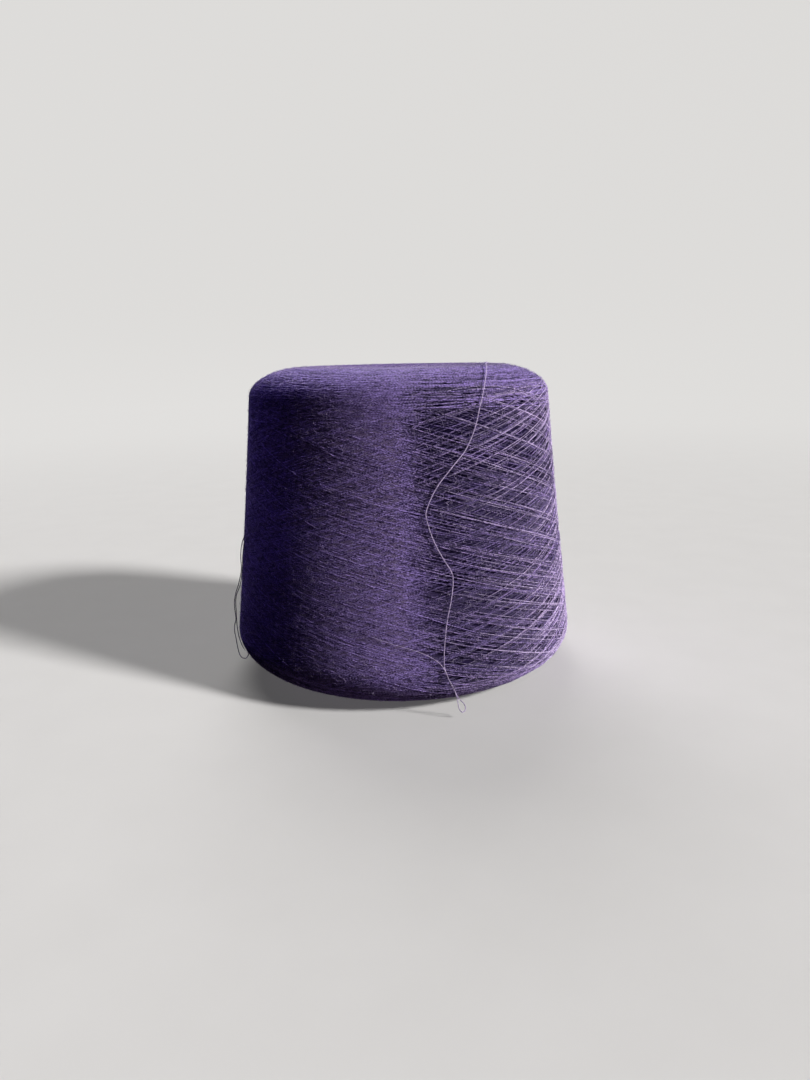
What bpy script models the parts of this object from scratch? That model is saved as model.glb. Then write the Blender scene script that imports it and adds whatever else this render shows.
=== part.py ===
"""A cone of yarn, in metres with +Z up.

One thick package of yarn, wound criss-cross on a slow taper round an open bore, with the loose end that comes
over its top and hangs in a hairpin at its front, and two slack turns that stand off its left side.

The origin is the middle of the foot, on the surface that the package stands on, and the front is -Y. Places
round the package are given by azimuth, in degrees from the front towards +X, with a radius and a height.
"""

import math
from typing import NamedTuple

import bmesh
import bpy
from mathutils import Vector

MM = 0.001
TURN = 2 * math.pi

# The package: the 6 inch traverse of a cone winder, on the 5 degree 57 minute taper of knitting yarn.
HEIGHT = 0.152
TAPER = math.radians(5.95)
BULGE_RADIUS = 0.0862
FOOT_ROUND_IN = 0.0326
FOOT_ROUND_UP = 0.0209
TOP_ROUND_IN = 0.0272
TOP_ROUND_DOWN = 0.0139
SIDE_HOLLOW = 0.0004
TOP_DISH = 0.0012

# The bore keeps the same taper, so the package is as thick at its top as at its foot.
BORE_FOOT_RADIUS = 0.0335
BORE_ROUND = 0.0015

# The side is a net of triangles whose slanting edges are the paths of the turns.
COLUMNS = 40
SIDE_ROWS = 68
FOOT_ROUND_ROWS = 14
TOP_ROUND_ROWS = 11
FACE_ROWS = 3
BORE_ROWS = 5

# The main twists: bands of turns that lie proud, most of all where the winding is open.
BANDS = 8
BAND_RELIEF = 0.0006
QUIET_SHARE = 0.3
LEFT_HAND_SHARE = 0.6
OPEN_FROM = (0.0, 18.0)
OPEN_TO = (120.0, 145.0)
RELIEF_FADE = 0.010

YARN_DIAMETER = 0.0005
TUBE_STEP = 0.0036


class RoutePoint(NamedTuple):
    """A place on a strand's route: degrees from the front, and millimetres from the axis and from the foot."""

    azimuth: float
    radius: float
    height: float


LOOSE_END = (
    RoutePoint(76.0, 44.0, 152.6),
    RoutePoint(64.0, 47.5, 152.8),
    RoutePoint(54.0, 50.8, 152.7),
    RoutePoint(46.0, 55.5, 152.3),
    RoutePoint(39.8, 61.5, 151.0),
    RoutePoint(32.5, 70.2, 146.9),
    RoutePoint(29.1, 74.4, 141.6),
    RoutePoint(26.9, 75.5, 134.0),
    RoutePoint(24.8, 76.3, 125.9),
    RoutePoint(21.3, 77.1, 117.6),
    RoutePoint(16.3, 77.8, 110.5),
    RoutePoint(11.1, 78.6, 102.3),
    RoutePoint(8.0, 79.4, 94.0),
    RoutePoint(7.7, 79.9, 89.7),
    RoutePoint(9.6, 80.8, 80.4),
    RoutePoint(12.5, 81.7, 72.0),
    RoutePoint(14.9, 82.3, 66.0),
    RoutePoint(15.2, 82.8, 61.7),
    RoutePoint(14.4, 83.6, 54.0),
    RoutePoint(12.6, 84.9, 42.6),
    RoutePoint(11.5, 86.6, 27.6),
    RoutePoint(12.1, 87.3, 21.6),
    RoutePoint(14.4, 87.4, 13.6),
    RoutePoint(15.6, 87.5, 9.9),
    RoutePoint(17.1, 87.8, 7.2),
    RoutePoint(17.6, 88.0, 5.2),
    RoutePoint(17.4, 88.1, 3.9),
    RoutePoint(16.7, 88.2, 3.3),
    RoutePoint(15.9, 88.2, 4.2),
    RoutePoint(15.4, 88.3, 6.2),
    RoutePoint(15.0, 88.4, 9.6),
    RoutePoint(14.0, 88.4, 15.1),
    RoutePoint(12.6, 88.3, 19.6),
    RoutePoint(11.5, 87.9, 23.9),
    RoutePoint(9.8, 87.0, 27.4),
    RoutePoint(7.0, 86.5, 30.4),
    RoutePoint(2.9, 86.1, 33.3),
    RoutePoint(-1.1, 85.8, 35.1),
    RoutePoint(-6.0, 85.4, 37.5),
    RoutePoint(-9.5, 84.9, 39.2),
)

SLACK_LOOP = (
    RoutePoint(-68.5, 81.1, 73.6),
    RoutePoint(-71.5, 81.3, 71.8),
    RoutePoint(-77.0, 82.1, 66.9),
    RoutePoint(-79.0, 83.0, 61.9),
    RoutePoint(-79.0, 83.3, 57.4),
    RoutePoint(-78.0, 83.3, 54.5),
    RoutePoint(-78.0, 83.6, 51.4),
    RoutePoint(-79.0, 84.7, 46.7),
    RoutePoint(-79.8, 85.7, 43.2),
    RoutePoint(-80.0, 87.0, 39.7),
    RoutePoint(-80.0, 88.0, 35.2),
    RoutePoint(-80.0, 88.1, 31.2),
    RoutePoint(-80.0, 87.9, 25.5),
    RoutePoint(-79.5, 88.7, 22.8),
    RoutePoint(-78.5, 88.9, 19.8),
    RoutePoint(-76.5, 88.4, 16.8),
    RoutePoint(-74.5, 88.2, 14.3),
    RoutePoint(-71.5, 87.8, 11.4),
    RoutePoint(-69.0, 87.2, 10.7),
    RoutePoint(-67.0, 86.4, 11.2),
    RoutePoint(-66.0, 85.9, 11.8),
    RoutePoint(-64.0, 85.5, 14.4),
    RoutePoint(-62.0, 86.4, 17.0),
)

SLACK_STRAND = (
    RoutePoint(-69.0, 81.4, 70.4),
    RoutePoint(-71.5, 81.9, 67.0),
    RoutePoint(-73.5, 82.3, 63.1),
    RoutePoint(-74.0, 82.7, 58.9),
    RoutePoint(-74.0, 83.1, 55.3),
    RoutePoint(-75.0, 83.7, 50.3),
    RoutePoint(-76.5, 84.8, 44.5),
    RoutePoint(-77.0, 86.5, 40.5),
    RoutePoint(-77.0, 87.3, 36.6),
    RoutePoint(-77.0, 87.4, 32.0),
    RoutePoint(-77.0, 87.5, 26.4),
    RoutePoint(-76.0, 87.4, 22.6),
    RoutePoint(-74.0, 87.1, 19.3),
    RoutePoint(-72.0, 86.6, 17.1),
    RoutePoint(-70.0, 86.1, 15.6),
    RoutePoint(-68.5, 85.5, 14.4),
)


class Row(NamedTuple):
    """A level ring of the package's skin, with the share of the bands' relief that it carries."""

    radius: float
    height: float
    relief: float = 0.0


def place(azimuth, radius, height):
    """The point at an azimuth in radians, a radius and a height."""
    return Vector((radius * math.sin(azimuth), -radius * math.cos(azimuth), height))


def smoothstep(low, high, value):
    """Rises from 0 at low to 1 at high, level at both."""
    share = min(1.0, max(0.0, (value - low) / (high - low)))
    return share * share * (3 - 2 * share)


def side_height():
    """The height of the straight side, between its two roundings."""
    return HEIGHT - FOOT_ROUND_UP - TOP_ROUND_DOWN


def shoulder_radius():
    """The radius at the top of the straight side."""
    return BULGE_RADIUS - side_height() * math.tan(TAPER)


def foot_rows():
    """The flat foot, from the bore outwards."""
    inner = BORE_FOOT_RADIUS + BORE_ROUND
    outer = BULGE_RADIUS - FOOT_ROUND_IN
    return [Row(inner + (outer - inner) * k / FACE_ROWS, 0.0) for k in range(FACE_ROWS)]


def foot_rounding():
    """The quarter ellipse that turns up from the foot."""
    rows = []
    for k in range(FOOT_ROUND_ROWS):
        angle = math.pi / 2 * k / FOOT_ROUND_ROWS
        radius = BULGE_RADIUS - FOOT_ROUND_IN * (1 - math.sin(angle))
        rows.append(Row(radius, FOOT_ROUND_UP * (1 - math.cos(angle))))
    return rows


def side_rows():
    """The tapered side, a little hollow at its middle, where the bands stand proud."""
    rows = []
    for k in range(SIDE_ROWS + 1):
        share = k / SIDE_ROWS
        along = share * side_height()
        radius = BULGE_RADIUS - along * math.tan(TAPER) - SIDE_HOLLOW * math.sin(math.pi * share)
        to_end = min(along, side_height() - along)
        rows.append(Row(radius, FOOT_ROUND_UP + along, smoothstep(0, RELIEF_FADE, to_end)))
    return rows


def top_rounding():
    """The quarter ellipse that turns in from the side to the top."""
    rows = []
    for k in range(1, TOP_ROUND_ROWS + 1):
        angle = math.pi / 2 * k / TOP_ROUND_ROWS
        radius = shoulder_radius() - TOP_ROUND_IN * (1 - math.cos(angle))
        rows.append(Row(radius, HEIGHT - TOP_ROUND_DOWN * (1 - math.sin(angle))))
    return rows


def top_rows():
    """The top, which dishes gently to the bore."""
    outer = shoulder_radius() - TOP_ROUND_IN
    inner = bore_radius(HEIGHT) + BORE_ROUND
    rows = []
    for k in range(1, FACE_ROWS + 1):
        share = k / FACE_ROWS
        rows.append(Row(outer + (inner - outer) * share, HEIGHT - TOP_DISH * share))
    return rows


def bore_radius(height):
    """The bore's radius at a height."""
    return BORE_FOOT_RADIUS - height * math.tan(TAPER)


def bore_rows():
    """The bore's wall, from the top to the foot."""
    top = HEIGHT - TOP_DISH - BORE_ROUND
    bottom = BORE_ROUND
    heights = [top + (bottom - top) * k / BORE_ROWS for k in range(BORE_ROWS + 1)]
    return [Row(bore_radius(height), height) for height in heights]


def open_share(azimuth):
    """How open the winding is at an azimuth in radians: 1 at the right, 0 at the left."""
    degrees = math.degrees(math.remainder(azimuth, TURN))
    return smoothstep(*OPEN_FROM, degrees) * (1 - smoothstep(*OPEN_TO, degrees))


def band(azimuth, height, hand):
    """The ridge, from 0 to 1, of the bands that climb to the right (hand 1) or to the left (hand -1)."""
    lead = 2 * COLUMNS * side_height() / SIDE_ROWS
    phase = BANDS * ((height - FOOT_ROUND_UP) / lead - hand * azimuth / TURN)
    return max(0.0, math.cos(TURN * phase)) ** 2


def relief(azimuth, row):
    """How far the skin stands proud at an azimuth of a row."""
    if row.relief == 0:
        return 0.0
    ridge = max(band(azimuth, row.height, 1), LEFT_HAND_SHARE * band(azimuth, row.height, -1))
    openness = QUIET_SHARE + (1 - QUIET_SHARE) * open_share(azimuth)
    return BAND_RELIEF * row.relief * openness * ridge


def yarn_material(name, colour, roughness):
    """A plain matt finish for yarn."""
    material = bpy.data.materials.new(name)
    material.use_nodes = True
    shader = material.node_tree.nodes["Principled BSDF"]
    shader.inputs["Base Color"].default_value = (*colour, 1.0)
    shader.inputs["Roughness"].default_value = roughness
    shader.inputs["Metallic"].default_value = 0.0
    return material


def add_object(name, data, material):
    """Puts a mesh or a curve in the scene with its finish."""
    data.materials.append(material)
    item = bpy.data.objects.new(name, data)
    bpy.context.scene.collection.objects.link(item)
    return item


def wound_package(material):
    """The package, one closed ring of rows in which every second row is turned by half a column."""
    rows = foot_rows() + foot_rounding() + side_rows() + top_rounding() + top_rows() + bore_rows()
    form = bmesh.new()
    rings = []
    for index, row in enumerate(rows):
        ring = []
        for column in range(COLUMNS):
            azimuth = TURN * (column + 0.5 * (index % 2)) / COLUMNS
            ring.append(form.verts.new(place(azimuth, row.radius + relief(azimuth, row), row.height)))
        rings.append(ring)
    for index, lower in enumerate(rings):
        upper = rings[(index + 1) % len(rings)]
        for column in range(COLUMNS):
            following = (column + 1) % COLUMNS
            if index % 2 == 0:
                form.faces.new((lower[column], lower[following], upper[column]))
                form.faces.new((lower[following], upper[following], upper[column]))
            else:
                form.faces.new((lower[column], upper[following], upper[column]))
                form.faces.new((lower[column], lower[following], upper[following]))
    mesh = bpy.data.meshes.new("wound_yarn")
    form.to_mesh(mesh)
    form.free()
    mesh.shade_smooth()
    return add_object("wound_yarn", mesh, material)


def smooth_route(route):
    """Points along the smooth curve through a route, closer together where the route's own points are."""
    knots = [place(math.radians(p.azimuth), p.radius * MM, p.height * MM) for p in route]
    before = 2 * knots[0] - knots[1]
    after = 2 * knots[-1] - knots[-2]
    padded = [before, *knots, after]
    points = []
    for a, b, c, d in zip(padded, padded[1:], padded[2:], padded[3:]):
        steps = max(1, round((c - b).length / TUBE_STEP))
        for k in range(steps):
            t = k / steps
            points.append(
                0.5 * (2 * b + (c - a) * t + (2 * a - 5 * b + 4 * c - d) * t**2 + (3 * b - a - 3 * c + d) * t**3)
            )
    return [*points, knots[-1]]


def strand(name, route, material):
    """A single free yarn along a route."""
    points = smooth_route(route)
    curve = bpy.data.curves.new(name, "CURVE")
    curve.dimensions = "3D"
    curve.bevel_depth = YARN_DIAMETER / 2
    curve.bevel_resolution = 2
    curve.use_fill_caps = True
    spline = curve.splines.new("POLY")
    spline.points.add(len(points) - 1)
    for knot, point in zip(spline.points, points):
        knot.co = (*point, 1.0)
    return add_object(name, curve, material)


def main():
    """Clears the scene and builds the package and its free strands."""
    for item in list(bpy.data.objects):
        bpy.data.objects.remove(item, do_unlink=True)
    wound_package(yarn_material("wound yarn", (0.122, 0.084, 0.195), 0.9))
    strand("loose_end", LOOSE_END, yarn_material("loose end yarn", (0.195, 0.150, 0.260), 0.9))
    slack = yarn_material("slack yarn", (0.105, 0.072, 0.165), 0.9)
    strand("slack_loop", SLACK_LOOP, slack)
    strand("slack_strand", SLACK_STRAND, slack)


main()
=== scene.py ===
"""The looks of a cone of yarn: thousands of fine turns laid over a packed bed, and the yarn's free strands.

Everything is in metres with +Z up. The origin is the middle of the foot and the front is -Y. Places round the
package are given by azimuth, in degrees from the front towards +X.
"""

import logging
import math
from dataclasses import dataclass, field, replace
from enum import Enum
from typing import NamedTuple, Sequence, Union

import bpy
from mathutils import Matrix, Vector


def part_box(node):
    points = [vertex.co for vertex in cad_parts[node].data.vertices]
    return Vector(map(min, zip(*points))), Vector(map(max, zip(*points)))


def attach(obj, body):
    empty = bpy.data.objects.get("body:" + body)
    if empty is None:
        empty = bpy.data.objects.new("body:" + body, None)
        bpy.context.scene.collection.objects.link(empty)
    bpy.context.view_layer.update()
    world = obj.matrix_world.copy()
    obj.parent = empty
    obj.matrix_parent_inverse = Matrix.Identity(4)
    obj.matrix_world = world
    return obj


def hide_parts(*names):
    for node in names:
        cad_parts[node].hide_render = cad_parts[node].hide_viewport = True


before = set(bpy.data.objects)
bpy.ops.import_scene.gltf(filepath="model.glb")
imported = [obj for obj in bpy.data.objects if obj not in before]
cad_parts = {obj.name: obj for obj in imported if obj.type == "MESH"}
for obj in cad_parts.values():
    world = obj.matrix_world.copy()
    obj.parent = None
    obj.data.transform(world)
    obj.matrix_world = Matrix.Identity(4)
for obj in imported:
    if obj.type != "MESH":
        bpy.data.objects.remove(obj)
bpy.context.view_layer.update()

log = logging.getLogger("cone_of_yarn")

MM = 0.001
TURN = 2 * math.pi
GOLDEN_ANGLE = 222.492
BODY = "root"

Tint = tuple[float, float, float]
Span = tuple[float, float]


def add_object(name: str, data: bpy.types.ID) -> bpy.types.Object:
    """Adds an object to the scene.

    Args:
        name: what the object is called.
        data: its mesh, light or camera.

    Returns:
        The object.
    """
    added = bpy.data.objects.new(name, data)
    bpy.context.scene.collection.objects.link(added)
    return added


def direction(azimuth: float, elevation: float) -> Vector:
    """The way out from the middle, from degrees round from the front and degrees above the level."""
    a, e = math.radians(azimuth), math.radians(elevation)
    return Vector((math.sin(a) * math.cos(e), -math.cos(a) * math.cos(e), math.sin(e)))


# ---------------------------------------------------------------------------------------------- node trees


class Field:
    """A number or a vector in a node tree. Arithmetic on a number adds the nodes that do the sum."""

    def __init__(self, graph: "Graph", socket: bpy.types.NodeSocket) -> None:
        """Keeps the tree and the socket that the value comes from."""
        self.graph = graph
        self.socket = socket

    def __add__(self, other: "Number") -> "Field":
        """This number plus another."""
        return self.graph.math("ADD", self, other)

    def __sub__(self, other: "Number") -> "Field":
        """This number less another."""
        return self.graph.math("SUBTRACT", self, other)

    def __rsub__(self, other: "Number") -> "Field":
        """Another number less this one."""
        return self.graph.math("SUBTRACT", other, self)

    def __mul__(self, other: "Number") -> "Field":
        """This number times another."""
        return self.graph.math("MULTIPLY", self, other)

    def __truediv__(self, other: "Number") -> "Field":
        """This number over another."""
        return self.graph.math("DIVIDE", self, other)


Number = Union[float, int, Field]


class Graph:
    """A node tree that is built from Python, one call for each node."""

    def __init__(self, tree: bpy.types.NodeTree) -> None:
        """Keeps the tree that the nodes go in."""
        self.tree = tree

    def add(self, kind: str, inputs: Union[dict, None] = None, **settings: object) -> bpy.types.Node:
        """Adds one node.

        Args:
            kind: the node's type.
            inputs: a value, a field or a socket for each input, by its name or its number.
            settings: the node's own properties.

        Returns:
            The node.
        """
        node = self.tree.nodes.new(kind)
        for name, value in settings.items():
            setattr(node, name, value)
        for key, value in (inputs or {}).items():
            self.feed(node.inputs[key], value)
        return node

    def feed(self, socket: bpy.types.NodeSocket, value: object) -> None:
        """Links a field or a socket to an input, or sets the input to a plain value.

        Args:
            socket: the input.
            value: the field, the socket or the plain value.
        """
        source = value.socket if isinstance(value, Field) else value
        if isinstance(source, bpy.types.NodeSocket):
            self.tree.links.new(source, socket)
        else:
            socket.default_value = source

    def out(self, node: bpy.types.Node, key: Union[str, int] = 0) -> Field:
        """One of a node's outputs, as a field."""
        return Field(self, node.outputs[key])

    def get(
        self, kind: str, inputs: Union[dict, None] = None, key: Union[str, int] = 0, **settings: object
    ) -> Field:
        """Adds one node, as add does, and gives one of its outputs as a field."""
        return self.out(self.add(kind, inputs, **settings), key)

    def math(self, operation: str, *values: Number) -> Field:
        """The result of one Math node on one to three numbers."""
        return self.get("ShaderNodeMath", dict(enumerate(values)), operation=operation)

    def rise(self, value: Number, low: Number, high: Number, floor: Number = 0.0, top: Number = 1.0) -> Field:
        """A smooth rise from floor to top as value goes from low to high.

        Args:
            value: what is followed.
            low: where the rise starts.
            high: where the rise ends.
            floor: the result before the rise.
            top: the result after it.

        Returns:
            The risen number.
        """
        spans = {"Value": value, "From Min": low, "From Max": high, "To Min": floor, "To Max": top}
        return self.get("ShaderNodeMapRange", spans, interpolation_type="SMOOTHSTEP")

    def vector(self, x: Number, y: Number, z: Number) -> Field:
        """A vector from three numbers."""
        return self.get("ShaderNodeCombineXYZ", {"X": x, "Y": y, "Z": z})

    def parts(self, vector: Field) -> tuple[Field, Field, Field]:
        """A vector's three numbers."""
        node = self.add("ShaderNodeSeparateXYZ", {"Vector": vector})
        return self.out(node, "X"), self.out(node, "Y"), self.out(node, "Z")

    def vectors(self, operation: str, first: Field, second: Field) -> Field:
        """The result of one Vector Math node on two vectors."""
        return self.get("ShaderNodeVectorMath", {0: first, 1: second}, operation=operation)

    def scaled(self, vector: Field, by: Number) -> Field:
        """A vector times a number."""
        return self.get("ShaderNodeVectorMath", {0: vector, "Scale": by}, operation="SCALE")

    def noise(self, place: Field, scale: float, detail: float = 1.0) -> Field:
        """Smooth noise, about 0.5, at a place."""
        return self.get("ShaderNodeTexNoise", {"Vector": place, "Scale": scale, "Detail": detail})

    def blend(self, share: Number, start: Union[Field, Tint], end: Tint) -> Field:
        """The colour that is a share of the way from one to another."""
        ends = {"Factor": share, 6: start if isinstance(start, Field) else colour(*start), 7: colour(*end)}
        return self.get("ShaderNodeMix", ends, 2, data_type="RGBA", clamp_factor=True)


class GeometryTree(Graph):
    """A Geometry Nodes tree with named inputs, run once on a carrier object."""

    def __init__(self, name: str) -> None:
        """Starts a tree whose first input is the carrier's own geometry."""
        super().__init__(bpy.data.node_groups.new(name, "GeometryNodeTree"))
        self.sockets: dict[str, str] = {}
        self.carrier = self.input("Carrier", "NodeSocketGeometry")
        self.tree.interface.new_socket(name="Geometry", in_out="OUTPUT", socket_type="NodeSocketGeometry")

    def input(self, name: str, kind: str = "NodeSocketFloat") -> Field:
        """Adds a named input to the tree.

        Args:
            name: what the input is called.
            kind: the socket's type.

        Returns:
            The input as a field.
        """
        item = self.tree.interface.new_socket(name=name, in_out="INPUT", socket_type=kind)
        self.sockets[name] = item.identifier
        group = self.tree.nodes.get("inputs") or self.add("NodeGroupInput", name="inputs")
        return self.out(group, name)

    def inputs(self, *names: str, kind: str = "NodeSocketFloat") -> list[Field]:
        """Adds several named inputs of one type."""
        return [self.input(name, kind) for name in names]

    def chance(self, strand: Number, seed: Number, low: Number = 0.0, high: Number = 1.0) -> Field:
        """An even random number between two bounds, the same for all of one strand."""
        picks = {2: low, 3: high, "ID": strand, "Seed": seed}
        return self.get("FunctionNodeRandomValue", picks, 1, data_type="FLOAT")

    def store(self, geometry: Field, name: str, value: Field) -> Field:
        """Keeps a number on each point under a name that the finishes read."""
        inputs = {"Geometry": geometry, "Name": name, "Value": value}
        return self.get("GeometryNodeStoreNamedAttribute", inputs, data_type="FLOAT", domain="POINT")

    def chains(self, count: Field, knots: Field) -> tuple[Field, Field, Field]:
        """Separate chains of edges, to be moved into place.

        Args:
            count: how many chains.
            knots: how many points each has.

        Returns:
            The chains, the number of a point's chain, and the share of the chain that is before the point.
        """
        index = self.get("GeometryNodeInputIndex")
        chain = self.math("FLOOR", (index + 0.5) / knots)
        share = (index - chain * knots) / (knots - 1.0)
        line = self.get("GeometryNodeMeshLine", {"Count": count * knots})
        last = self.math("COMPARE", self.math("FLOORED_MODULO", index, knots), knots - 1.0, 0.5)
        cut = {"Geometry": line, "Selection": last}
        return self.get("GeometryNodeDeleteGeometry", cut, domain="EDGE", mode="EDGE_FACE"), chain, share

    def move(self, geometry: Field, position: Field) -> Field:
        """Puts each point at a position."""
        return self.get("GeometryNodeSetPosition", {"Geometry": geometry, "Position": position})

    def curve(self, mesh: Field) -> Field:
        """The curves along a mesh's edges."""
        return self.get("GeometryNodeMeshToCurve", {"Mesh": mesh})

    def thread(self, chains: Field, radius: Number, sides: Union[int, Field], taper: Number = 1.0) -> Field:
        """Tubes round chains of edges, whose points hold the run along them."""
        run = self.get("GeometryNodeSplineParameter", key="Length")
        return self.tube(self.store(self.curve(chains), "run", run), radius, sides, taper)

    def tube(self, curve: Field, radius: Number, sides: Union[int, Field], taper: Number = 1.0) -> Field:
        """A closed tube round a curve.

        Args:
            curve: the curve.
            radius: the tube's radius.
            sides: how many sides it has.
            taper: what its radius is multiplied by, point by point.

        Returns:
            The tube.
        """
        ring = self.add("GeometryNodeCurvePrimitiveCircle", {"Resolution": sides, "Radius": radius})
        inputs = {"Curve": curve, "Profile Curve": ring.outputs[0], "Scale": taper, "Fill Caps": True}
        return self.get("GeometryNodeCurveToMesh", inputs)

    def close(self, geometry: Field, material: Field) -> None:
        """Ends the tree: smooth faces, real instances and the finish.

        Args:
            geometry: what the tree has made.
            material: its finish.
        """
        smooth = self.get("GeometryNodeSetShadeSmooth", {"Geometry": geometry})
        real = self.get("GeometryNodeRealizeInstances", {"Geometry": smooth})
        dressed = self.get("GeometryNodeSetMaterial", {"Geometry": real, "Material": material})
        self.add("NodeGroupOutput", {"Geometry": dressed})

    def run(self, name: str, carrier: bpy.types.Mesh, values: dict) -> bpy.types.Object:
        """Runs the tree on a mesh and keeps the result as a plain mesh.

        Args:
            name: the finished piece's name.
            carrier: the mesh that the tree starts from.
            values: the tree's inputs, by name.

        Returns:
            The finished piece, with no modifier left on it.
        """
        piece = add_object(name, carrier)
        modifier = piece.modifiers.new("build", "NODES")
        modifier.node_group = self.tree
        for key, value in values.items():
            modifier[self.sockets[key]] = value
        depsgraph = bpy.context.evaluated_depsgraph_get()
        mesh = bpy.data.meshes.new_from_object(piece.evaluated_get(depsgraph))
        piece.modifiers.clear()
        piece.data = mesh
        mesh.name = name
        return piece


def chain_mesh(points: Sequence[Sequence[float]]) -> bpy.types.Mesh:
    """Points joined by edges, as a carrier for a tree.

    Args:
        points: the points in order, in metres.

    Returns:
        The mesh.
    """
    chain = bpy.data.meshes.new("chain")
    edges = [(k, k + 1) for k in range(len(points) - 1)]
    chain.from_pydata([tuple(point) for point in points], edges, [])
    return chain


# ----------------------------------------------------------------------------------------------- finishes


def colour(red: float, green: float, blue: float) -> tuple[float, float, float, float]:
    """A colour from linear red, green and blue."""
    return (red, green, blue, 1.0)


class ShaderTree(Graph):
    """A material's node tree, built up from the constants on its shader."""

    def __init__(self, name: str, constants: dict[str, object]) -> None:
        """Starts the material.

        Args:
            name: what the material is called.
            constants: a value for each of the shader's sockets that stays plain, by its name.
        """
        self.material = bpy.data.materials.new(name)
        self.material.use_nodes = True
        super().__init__(self.material.node_tree)
        self.shader = self.tree.nodes["Principled BSDF"]
        self.set(constants)
        self.place = self.get("ShaderNodeTexCoord", key="Object")

    def set(self, inputs: dict[str, object]) -> None:
        """Feeds the shader's sockets, by their names."""
        for name, value in inputs.items():
            self.feed(self.shader.inputs[name], value)

    def attribute(self, name: str) -> Field:
        """A number that the piece's points hold under a name."""
        return self.get("ShaderNodeAttribute", key="Fac", attribute_name=name)

    def relief(self, height: Field, depth: float, strength: float) -> Field:
        """The slopes of a fine relief, its depth in millimetres."""
        return self.get("ShaderNodeBump", {"Height": height, "Distance": depth * MM, "Strength": strength})


@dataclass(frozen=True)
class YarnFinish:
    """Matt two-ply yarn: twisted plies, flecks along each strand, and strands that differ in tone and depth, with
    shade painted into the twist's hollows and onto deeper strands.

    Lengths are in millimetres, and the offsets keep the flecks and the twist of one strand from the next one's.
    """

    name: str
    dark: Tint
    light: Tint
    roughness: float = 0.85
    specular: float = 0.2
    sheen: float = 0.15
    sheen_roughness: float = 0.5
    sheen_tint: Tint = (0.75, 0.66, 0.95)
    twist_pitch: float = 1.3
    twist_depth: float = 0.08
    twist_bump: float = 0.7
    twist_offset: float = 40.0
    fleck_length: float = 1.6
    fleck_offsets: Span = (913.0, 377.0)
    # Painted shade: how much darker the ply twist's hollows are than its crests.
    twist_shading: float = 0.5
    fleck_contrast: float = 2.8
    tone_contrast: float = 0.5
    # Painted shade: the dark colour that deeper strands are blended towards, and how far.
    deep: Tint = (0.016, 0.01, 0.045)
    depth_shade: float = 0.85
    patch_size: float = 6.0
    patch_contrast: float = 0.4
    middle: float = 0.5

    def material(self) -> bpy.types.Material:
        """Makes the finish.

        Returns:
            A material that reads the strand's tone and depth and the run along it.
        """
        constants = {
            "Roughness": self.roughness,
            "Specular IOR Level": self.specular,
            "Sheen Weight": self.sheen,
            "Sheen Roughness": self.sheen_roughness,
            "Sheen Tint": colour(*self.sheen_tint),
        }
        tree = ShaderTree(self.name, constants)
        tone, run, depth = (tree.attribute(name) for name in ("tone", "run", "depth"))
        offsets = (tone * offset for offset in self.fleck_offsets)
        fleck = tree.noise(tree.vector(run * (1 / (self.fleck_length * MM)), *offsets), 1.0)
        patch = tree.noise(tree.place, 1 / (self.patch_size * MM), 2.0)
        turned = run * (TURN / (self.twist_pitch * MM)) + tone * self.twist_offset
        twist = tree.math("SINE", turned) * 0.5 + 0.5
        # Painted shade: the twist term darkens the hollows between the plies; tone, fleck and patch vary the yarn's
        # own colour.
        mix = (
            (tone - 0.5) * self.tone_contrast
            + (twist - 0.5) * self.twist_shading
            + (fleck - 0.5) * self.fleck_contrast
            + (patch - 0.5) * self.patch_contrast
            + self.middle
        )
        # Painted shade: deeper strands are blended towards the dark colour deep, by depth_shade times their depth.
        shade = tree.blend(depth * self.depth_shade, tree.blend(mix, self.dark, self.light), self.deep)
        tree.set({"Base Color": shade, "Normal": tree.relief(twist, self.twist_depth, self.twist_bump)})
        return tree.material


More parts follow.
